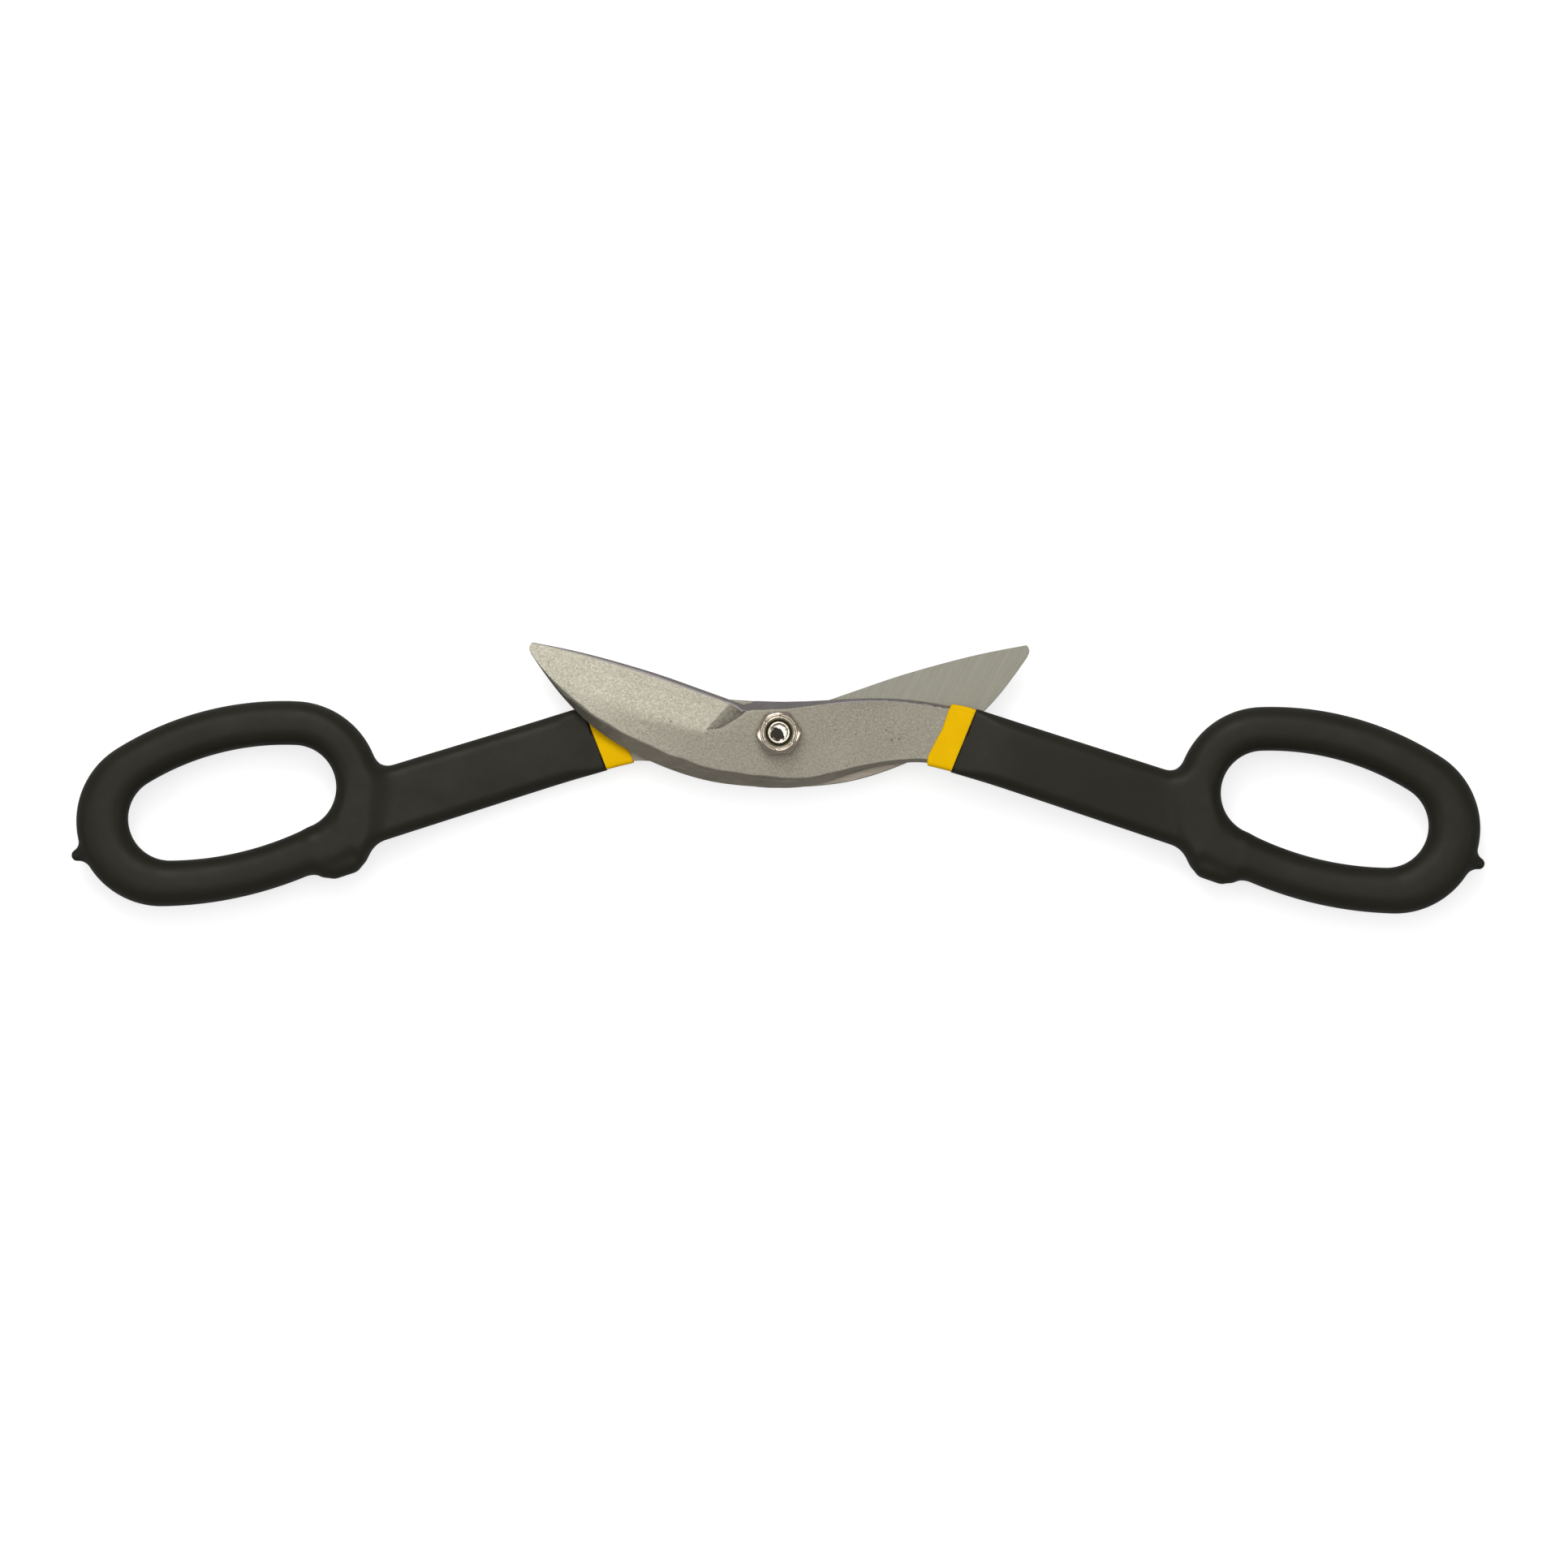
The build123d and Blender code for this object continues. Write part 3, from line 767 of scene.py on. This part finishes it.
def make_lock_nut():
    """Chamfered hexagon with a rolled collar over the nylon insert."""
    z = NUT_Z
    top = z + 5.6

    def collar(radius, height, dent):
        wobble = 0.03 * sin(3 * radius)
        return lambda angle: (radius + wobble * sin(5 * angle), z + height - dent * crimp(angle))

    rows = [plain(BORE_RADIUS + 0.02, z + 0.45), plain(BORE_RADIUS + 0.5, z), plain(6.1, z)]
    rows += hexagon_rows(z, top, 5.95, 6.3)
    rows += cone_rows(5.95, top, -1, (0.66, 0.33, 0.0))
    rows += [plain(5.84, top + 0.02), plain(5.77, top + 0.12)]
    rows += [collar(5.75, 6.6, 0), collar(5.75, 7.2, 0.02), collar(5.72, 7.5, 0.06),
             collar(5.64, 7.72, 0.12), collar(5.52, 7.81, 0.15), collar(5.40, 7.74, 0.1),
             collar(5.30, 7.6, 0.0), collar(5.15, 7.52, -0.04), collar(4.98, 7.5, 0.0),
             collar(4.84, 7.55, 0.05), collar(4.75, 7.66, 0.1), collar(4.67, 7.68, 0.1),
             collar(4.59, 7.6, 0.05), collar(4.56, 7.42, 0), collar(4.6, 7.37, 0), collar(5.05, 7.36, 0)]
    rows += [plain(5.05, z + 5.72), plain(BORE_RADIUS + 0.02, z + 5.7), plain(BORE_RADIUS + 0.02, z + 3)]
    return polar_mesh("lock_nut_body", rows)


def make_nylon_ring():
    """The insert, its top scored by the bolt's thread."""
    z = NUT_Z
    rows = [plain(4.03, z + 5.75), plain(5.0, z + 5.75), plain(5.02, z + 6.5), plain(5.0, z + 7.3),
            plain(4.6, z + 7.33), plain(4.5, z + 7.38), plain(4.42, z + 7.33), plain(4.34, z + 7.4),
            plain(4.26, z + 7.34), plain(4.18, z + 7.38), plain(4.1, z + 7.3), plain(4.04, z + 7.1)]
    return polar_mesh("nylon_insert_ring", rows)


def make_bolt():
    """Hexagon head at the rear, plain shank, rolled chamfer and a rough sheared end."""
    end = NUT_Z + 8.4
    neck = HEAD_HEIGHT

    def chipped(radius, height, depth):
        def spot(angle):
            chip = 0.5 + 0.5 * sin(3 * angle + 1.0) * sin(7 * angle + 0.4)
            return radius + 0.06 * chip * sin(9 * angle), end - height - depth * chip
        return spot

    rows = [plain(2.0, 0.0), plain(4.0, 0.0), plain(6.0, 0.0), plain(6.12, 0.03)]
    rows += cone_rows(6.15, 0.05, 1, (0.33, 0.66))
    rows += hexagon_rows(0.05, neck, 7.9, 6.15)
    rows += [plain(6.0, neck), plain(4.3, neck), plain(4.0, neck), plain(4.0, neck + 3)]
    rows += [plain(4.0, NUT_Z + 6.8), plain(3.97, NUT_Z + 7.2)]
    rows += [plain(3.85, NUT_Z + 7.4), plain(3.7, NUT_Z + 7.62), plain(3.55, NUT_Z + 7.86)]
    rows += [plain(3.42, end - 0.32), chipped(3.36, 0.12, 0.03), chipped(3.24, 0.02, 0.02),
             chipped(3.08, 0.0, 0.03), chipped(2.86, 0.03, 0.05), chipped(2.66, 0.16, 0.12),
             chipped(2.5, 0.26, 0.12), chipped(2.2, 0.3, 0.1), chipped(1.7, 0.3, 0.05),
             chipped(1.1, 0.28, 0.03), plain(0.5, end - 0.28)]
    return polar_mesh("pivot_bolt_body", rows, ring=False)


# ---------------------------------------------------------------- materials
class Shader:
    """A short way to write one node material."""

    def __init__(self, name, **constants):
        self.material = bpy.data.materials.new(name)
        self.material.use_nodes = True
        self.tree = self.material.node_tree
        self.surface = self.tree.nodes["Principled BSDF"]
        self.coordinates = self.add("ShaderNodeTexCoord").outputs["Object"]
        for socket, value in constants.items():
            self.surface.inputs[socket.replace("_", " ")].default_value = value

    def add(self, kind, **settings):
        node = self.tree.nodes.new(kind)
        for key, value in settings.items():
            setattr(node, key, value)
        return node

    def link(self, source, target):
        self.tree.links.new(source, target)

    def mapped(self, scale, turn=0.0):
        """Coordinates turned about Z, then scaled; a small first scale draws a texture out that way."""
        node = self.add("ShaderNodeMapping", vector_type="TEXTURE")
        node.inputs["Scale"].default_value = tuple(1 / s for s in scale)
        node.inputs["Rotation"].default_value = (0, 0, turn)
        self.link(self.coordinates, node.inputs["Vector"])
        return node.outputs["Vector"]

    def noise(self, scale, detail=3.0, roughness=0.55, vector=None, lacunarity=2.0):
        node = self.add("ShaderNodeTexNoise")
        node.inputs["Scale"].default_value = scale
        node.inputs["Detail"].default_value = detail
        node.inputs["Roughness"].default_value = roughness
        node.inputs["Lacunarity"].default_value = lacunarity
        self.link(vector or self.coordinates, node.inputs["Vector"])
        return node.outputs["Fac"]

    def cells(self, scale, vector=None):
        node = self.add("ShaderNodeTexVoronoi")
        node.inputs["Scale"].default_value = scale
        self.link(vector or self.coordinates, node.inputs["Vector"])
        return node.outputs["Distance"]

    def fit(self, source, low, high, to_low=0.0, to_high=1.0):
        node = self.add("ShaderNodeMapRange")
        node.inputs["From Min"].default_value = low
        node.inputs["From Max"].default_value = high
        node.inputs["To Min"].default_value = to_low
        node.inputs["To Max"].default_value = to_high
        self.link(source, node.inputs["Value"])
        return node.outputs["Result"]

    def math(self, operation, a, b):
        node = self.add("ShaderNodeMath", operation=operation)
        for socket, value in zip(node.inputs, (a, b)):
            if isinstance(value, (int, float)):
                socket.default_value = value
            else:
                self.link(value, socket)
        return node.outputs["Value"]

    def mix(self, share, a, b, blend="MIX"):
        node = self.add("ShaderNodeMix", data_type="RGBA", blend_type=blend)
        factor, first, second = node.inputs[0], node.inputs[6], node.inputs[7]
        for socket, value in ((factor, share), (first, a), (second, b)):
            if isinstance(value, (int, float)):
                socket.default_value = value
            elif isinstance(value, tuple):
                socket.default_value = (*value, 1.0)
            else:
                self.link(value, socket)
        return node.outputs[2]

    def from_axis(self):
        """Distance from the bolt's axis, in mm."""
        flat = self.add("ShaderNodeVectorMath", operation="MULTIPLY")
        self.link(self.coordinates, flat.inputs[0])
        flat.inputs[1].default_value = (1000, 1000, 0)
        node = self.add("ShaderNodeVectorMath", operation="LENGTH")
        self.link(flat.outputs["Vector"], node.inputs[0])
        return node.outputs["Value"]

    def attribute(self, name):
        return self.add("ShaderNodeAttribute", attribute_name=name).outputs["Fac"]

    def spot(self, centre, radius, ragged):
        """1 within a radius of a point, with a ragged border."""
        node = self.add("ShaderNodeVectorMath", operation="DISTANCE")
        self.link(self.coordinates, node.inputs[0])
        node.inputs[1].default_value = centre
        away = self.math("ADD", node.outputs["Value"], ragged)
        return self.fit(away, radius * 1.2, radius * 0.4, 0.0, 0.75)

    def colour(self, source):
        self.link(source, self.surface.inputs["Base Color"])

    def roughness(self, source):
        self.link(source, self.surface.inputs["Roughness"])

    def bump(self, heights):
        """Each height is (source, strength, distance in mm); they are chained."""
        normal = None
        for source, strength, distance in heights:
            node = self.add("ShaderNodeBump")
            node.inputs["Strength"].default_value = strength
            node.inputs["Distance"].default_value = distance * MM
            self.link(source, node.inputs["Height"])
            if normal is not None:
                self.link(normal, node.inputs["Normal"])
            normal = node.outputs["Normal"]
        self.link(normal, self.surface.inputs["Normal"])


PITS = ((33, 7.7, 0.5), (36.8, 7.9, 0.42), (35.6, 8.6, 0.25), (68.5, 4.6, 0.6), (67.6, 4.2, 0.4),
        (51.5, 1.6, 0.3), (-36.2, -10.4, 0.4), (-33.8, -9.3, 0.35), (-31.5, -11.6, 0.3), (-2, -6, 0.3))


def blasted_steel(side, pits):
    """Outer faces: blasted all over, brighter on the ground faces with painted light and a painted
    highlight, coarse and dark on the heel ramp with painted shade.
    """
    s = Shader(f"{side}_blasted_steel", Metallic=0.75)
    cloud = s.noise(45, 4, 0.6)
    grain = s.noise(3000, 2, 0.6)
    coarse = s.noise(1300, 3, 0.6)
    speck = s.fit(grain, 0.42, 0.85)
    dull = s.mix(s.fit(cloud, 0.3, 0.7), (0.222, 0.206, 0.158), (0.262, 0.244, 0.192))
    dull = s.mix(speck, dull, (0.37, 0.35, 0.29))
    # brighter copy of the blasted colours, for the ground faces and for painted light
    bright = s.mix(s.fit(cloud, 0.3, 0.7), (0.316, 0.296, 0.233), (0.372, 0.349, 0.279))
    bright = s.mix(speck, bright, (0.53, 0.51, 0.43))
    colour = s.mix(s.attribute("polish_and_light"), dull, bright)
    across = radians(40 if side == "front" else 140)
    streak = s.noise(1300, 3, 0.6, s.mapped((0.15, 1, 1), across))
    # dark colour of the heel ramp: partly its coarse grind, partly painted shade
    rough = s.mix(s.fit(streak, 0.3, 0.7), (0.06, 0.054, 0.042), (0.12, 0.111, 0.089))
    colour = s.mix(s.attribute("ramp"), colour, rough)
    dark = s.math("MULTIPLY", s.fit(s.noise(800, 2, 0.5), 0.69, 0.76), 0.45)
    ragged = s.fit(s.noise(2600, 3, 0.7), 0.2, 0.8, -0.0004, 0.0004)
    for x, y, radius in pits:
        dark = s.math("MAXIMUM", dark, s.spot(PLACES[side] @ Vector((x, y, LAYER)), radius * MM, ragged))
    if pits:
        rust = s.spot(PLACES[side] @ Vector((-34, -10.6, LAYER)), 4.2 * MM, ragged)
        rust = s.math("MULTIPLY", rust, s.fit(s.noise(1900, 2, 0.5), 0.6, 0.68))
        dark = s.math("MAXIMUM", dark, rust)
    colour = s.mix(dark, colour, (0.07, 0.062, 0.05))
    s.colour(colour)
    s.roughness(s.fit(coarse, 0.3, 0.7, 0.48, 0.66))
    s.bump([(grain, 0.5, 0.07), (coarse, 0.4, 0.09)])
    return s.material


def forged_and_shaded_side():
    s = Shader("forged_and_shaded_side", Metallic=0.8)
    streak = s.noise(900, 3, 0.6, s.mapped((0.12, 1, 1)))
    cloud = s.noise(60, 4, 0.6)
    # forged steel colour, partly painted shade of the bevels that face away from the light
    colour = s.mix(s.fit(cloud, 0.3, 0.7), (0.235, 0.207, 0.162), (0.315, 0.282, 0.225))
    colour = s.mix(s.fit(streak, 0.5, 0.85), colour, (0.42, 0.385, 0.315))
    # painted dark reflection: darker where X lies 48 to 75 mm and more from the origin, towards the bevels'
    # far ends
    split = s.add("ShaderNodeSeparateXYZ")
    s.link(s.coordinates, split.inputs["Vector"])
    far_dark_reflection = s.fit(s.math("ABSOLUTE", split.outputs["X"], 0), 0.048, 0.075, 0.0, 0.8)
    colour = s.mix(far_dark_reflection, colour, (0.09, 0.082, 0.066))
    s.colour(colour)
    s.roughness(s.fit(streak, 0.3, 0.7, 0.42, 0.6))
    s.bump([(streak, 0.35, 0.06), (s.noise(1500, 2), 0.3, 0.05)])
    return s.material


def brushed_face(turn):
    """Inner face: surface ground in straight passes across the blade."""
    s = Shader("brushed_inner_face", Metallic=0.9)
    along = s.mapped((0.02, 1, 1), turn)
    fine = s.noise(3400, 3, 0.7, along)
    broad = s.noise(700, 3, 0.6, s.mapped((0.035, 1, 1), turn))
    colour = s.mix(s.fit(fine, 0.3, 0.7), (0.17, 0.165, 0.132), (0.28, 0.272, 0.226))
    colour = s.mix(s.math("MULTIPLY", s.fit(broad, 0.35, 0.7), 0.3), colour, (0.19, 0.184, 0.15))
    s.colour(colour)
    s.roughness(s.fit(fine, 0.25, 0.75, 0.42, 0.56))
    s.bump([(fine, 0.5, 0.04), (broad, 0.2, 0.05)])
    return s.material


def ground_edge():
    s = Shader("ground_edge", Metallic=0.85)
    streak = s.noise(1600, 3, 0.6, s.mapped((0.05, 1, 1), radians(15)))
    s.colour(s.mix(s.fit(streak, 0.3, 0.7), (0.225, 0.2, 0.2), (0.32, 0.295, 0.29)))
    s.roughness(s.fit(streak, 0.3, 0.7, 0.52, 0.66))
    s.bump([(streak, 0.3, 0.03)])
    return s.material


def black_vinyl():
    s = Shader("black_vinyl", Specular_IOR_Level=0.16, Specular_Tint=(1.0, 0.98, 0.87, 1.0))
    cloud = s.noise(35, 4, 0.6)
    skin = s.noise(950, 2, 0.5)
    colour = s.mix(s.fit(cloud, 0.3, 0.7), (0.0138, 0.0129, 0.0088), (0.019, 0.0176, 0.0124))
    dust = s.fit(s.cells(260), 0.03, 0.018)
    colour = s.mix(s.math("MULTIPLY", dust, 0.35), colour, (0.22, 0.21, 0.19))
    s.colour(colour)
    s.roughness(s.fit(s.noise(120, 4, 0.6), 0.3, 0.7, 0.42, 0.55))
    s.bump([(skin, 0.4, 0.05), (s.noise(90, 3), 0.12, 0.3)])
    return s.material


def yellow_vinyl():
    s = Shader("yellow_vinyl", Specular_IOR_Level=0.08, Specular_Tint=(1.0, 0.8, 0.2, 1.0))
    cloud = s.noise(110, 4, 0.6)
    colour = s.mix(s.fit(cloud, 0.3, 0.7), (0.74, 0.42, 0.0008), (0.80, 0.475, 0.0008))
    s.colour(colour)
    s.roughness(s.fit(s.noise(300, 3), 0.3, 0.7, 0.34, 0.46))
    s.bump([(s.noise(700, 2), 0.12, 0.05), (s.noise(120, 2), 0.15, 0.2)])
    return s.material


def nickel_plate():
    s = Shader("nickel_plate", Metallic=1.0)
    cloud = s.noise(380, 4, 0.6)
    colour = s.mix(s.fit(cloud, 0.35, 0.65), (0.58, 0.495, 0.405), (0.70, 0.61, 0.51))
    rub = s.fit(s.noise(700, 4, 0.65), 0.62, 0.74)
    colour = s.mix(s.math("MULTIPLY", rub, 0.35), colour, (0.24, 0.20, 0.16))
    away = s.from_axis()
    # painted shade in the dip of the collar, between its two bright rings
    collar_groove_shade = s.math("MULTIPLY", s.fit(away, 4.86, 4.98), s.fit(away, 5.34, 5.22))
    colour = s.mix(s.math("MULTIPLY", collar_groove_shade, 0.8), colour, (0.15, 0.135, 0.105))
    s.colour(colour)
    s.roughness(s.fit(s.noise(900, 3), 0.3, 0.7, 0.13, 0.24))
    s.bump([(s.noise(500, 3), 0.08, 0.04)])
    return s.material


def sheared_end():
    """Bolt end: bright plated rim, with the plating broken away to dark oxide in the middle."""
    s = Shader("sheared_bolt_end", Metallic=1.0)
    split = s.add("ShaderNodeSeparateXYZ")
    s.link(s.coordinates, split.inputs["Vector"])
    ragged = s.fit(s.noise(900, 4, 0.7), 0.3, 0.7, -0.55, 0.55)
    radius = s.from_axis()
    slant = s.math("MULTIPLY", s.math("ADD", split.outputs["X"], split.outputs["Y"]), 1000)
    lean = s.math("MAXIMUM", s.math("MULTIPLY", slant, 0.75), s.math("MULTIPLY", slant, 0.1))
    reach = s.math("ADD", s.math("ADD", radius, lean), ragged)
    bright = s.math("MAXIMUM", s.fit(reach, 2.2, 2.6), s.fit(radius, 2.8, 2.95))
    colour = s.mix(bright, (0.04, 0.036, 0.03), (0.66, 0.61, 0.50))
    colour = s.mix(s.fit(radius, 3.38, 3.5), colour, (0.20, 0.182, 0.13))
    s.colour(colour)
    s.roughness(s.fit(bright, 0, 1, 0.6, 0.22))
    s.bump([(s.noise(1300, 4, 0.7), 0.6, 0.12)])
    return s.material


def dark_nylon():
    s = Shader("dark_nylon", Specular_IOR_Level=0.25)
    cloud = s.noise(500, 3)
    s.colour(s.mix(s.fit(cloud, 0.3, 0.7), (0.09, 0.08, 0.047), (0.14, 0.127, 0.08)))
    s.roughness(s.fit(cloud, 0.3, 0.7, 0.4, 0.6))
    s.bump([(s.noise(1200, 3), 0.3, 0.06)])
    return s.material


# ---------------------------------------------------------------- put the snips together
forged, edge = forged_and_shaded_side(), ground_edge()
black, yellow, nickel = black_vinyl(), yellow_vinyl(), nickel_plate()
grip_points, grip_faces = surface_net(handle_field, (-225, -66, -9), (-48.5, 3, 13), SKIN_STEP)
for side in ("front", "rear"):
    body = f"{side}_half"
    brushed = brushed_face(radians(62 if side == "rear" else 118))
    blasted = blasted_steel(side, PITS if side == "front" else ())
    steel = steel_head(side, (blasted, forged, brushed, edge))
    cut_bore(steel)
    add_tang(side, steel)
    grip = black_grip(side, grip_points, grip_faces)
    band = yellow_band(side)
    for piece in (steel, grip, band):
        piece.data.transform(PLACES[side])
    give(grip, black)
    give(band, yellow)
    stands_for(steel, f"{side}_blade", body)
    stands_for(grip, f"{side}_grip", body)
    stands_for(band, f"{side}_undercoat", body)

nut = make_lock_nut()
give(nut, nickel)
stands_for(nut, "lock_nut", "front_half")
ring = make_nylon_ring()
give(ring, dark_nylon())
stands_for(ring, "nylon_ring", "front_half")
bolt = make_bolt()
give(bolt, nickel, sheared_end())
end_height = (NUT_Z + 7.3) * MM
bolt.data.polygons.foreach_set("material_index",
                               [int(p.center.z > end_height) for p in bolt.data.polygons])
stands_for(bolt, "pivot_bolt", "front_half")

# ---------------------------------------------------------------- floor, light and camera
FLOOR_SIZE = 8.0
FLOOR_GLOW = 0.70            # lifts the floor to near white where the camera sees it


def make_floor():
    half = FLOOR_SIZE / 2
    z = CAD_LOW.z - 0.0001
    floor = mesh_object("floor", [(-half, -half, z), (half, -half, z), (half, half, z), (-half, half, z)],
                        [(0, 1, 2, 3)], smooth=False)
    s = Shader("pale_floor", Roughness=0.9, Specular_IOR_Level=0.1)
    s.colour(s.mix(s.fit(s.noise(3, 3), 0.3, 0.7), (0.46, 0.46, 0.46), (0.48, 0.48, 0.48)))
    path = s.add("ShaderNodeLightPath")
    glow = s.math("MULTIPLY", path.outputs["Is Camera Ray"], FLOOR_GLOW)
    s.link(glow, s.surface.inputs["Emission Strength"])
    s.surface.inputs["Emission Color"].default_value = (1, 1, 1, 1)
    floor.data.materials.append(s.material)


def soft_light(name, azimuth, elevation, distance, size, power):
    light = bpy.data.lights.new(name, "AREA")
    light.shape = "DISK"
    light.size = size
    light.energy = power
    holder = bpy.data.objects.new(name, light)
    a, e = radians(azimuth), radians(elevation)
    holder.location = Vector((cos(a) * cos(e), sin(a) * cos(e), sin(e))) * distance
    holder.rotation_mode = "QUATERNION"
    holder.rotation_quaternion = holder.location.to_track_quat("Z", "Y")
    holder.visible_camera = False
    bpy.context.scene.collection.objects.link(holder)


def make_world():
    world = bpy.data.worlds.new("studio")
    world.use_nodes = True
    bpy.context.scene.world = world
    tree = world.node_tree
    background = tree.nodes["Background"]
    path = tree.nodes.new("ShaderNodeLightPath")
    mix = tree.nodes.new("ShaderNodeMix")
    mix.data_type = "RGBA"
    mix.inputs[6].default_value = (0.24, 0.24, 0.24, 1)
    mix.inputs[7].default_value = (0.98, 0.98, 0.98, 1)
    tree.links.new(path.outputs["Is Camera Ray"], mix.inputs[0])
    tree.links.new(mix.outputs[2], background.inputs["Color"])


PHOTO_WIDTH = 0.4907         # width of the view at the height of the pivot, m
CAMERA_DISTANCE = 2.6
CAMERA_ROLL = radians(0.34)
VIEW_CENTRE = (0.0017, -0.0160)


def make_camera():
    camera = bpy.data.cameras.new("camera")
    camera.lens = camera.sensor_width * CAMERA_DISTANCE / PHOTO_WIDTH
    holder = bpy.data.objects.new("camera", camera)
    holder.location = (*VIEW_CENTRE, PIVOT.z + CAMERA_DISTANCE)
    holder.rotation_euler = (0, 0, CAMERA_ROLL)
    camera.clip_start, camera.clip_end = 0.1, 20
    bpy.context.scene.collection.objects.link(holder)
    bpy.context.scene.camera = holder


make_floor()
make_world()
make_camera()
soft_light("overhead", 95, 78, 1.9, 1.5, 16)
soft_light("key", 105, 50, 1.7, 0.9, 11)
soft_light("fill_left", 190, 40, 1.7, 0.7, 3)
soft_light("fill_right", 350, 40, 1.7, 0.7, 3)
bpy.context.scene.view_settings.view_transform = "Standard"
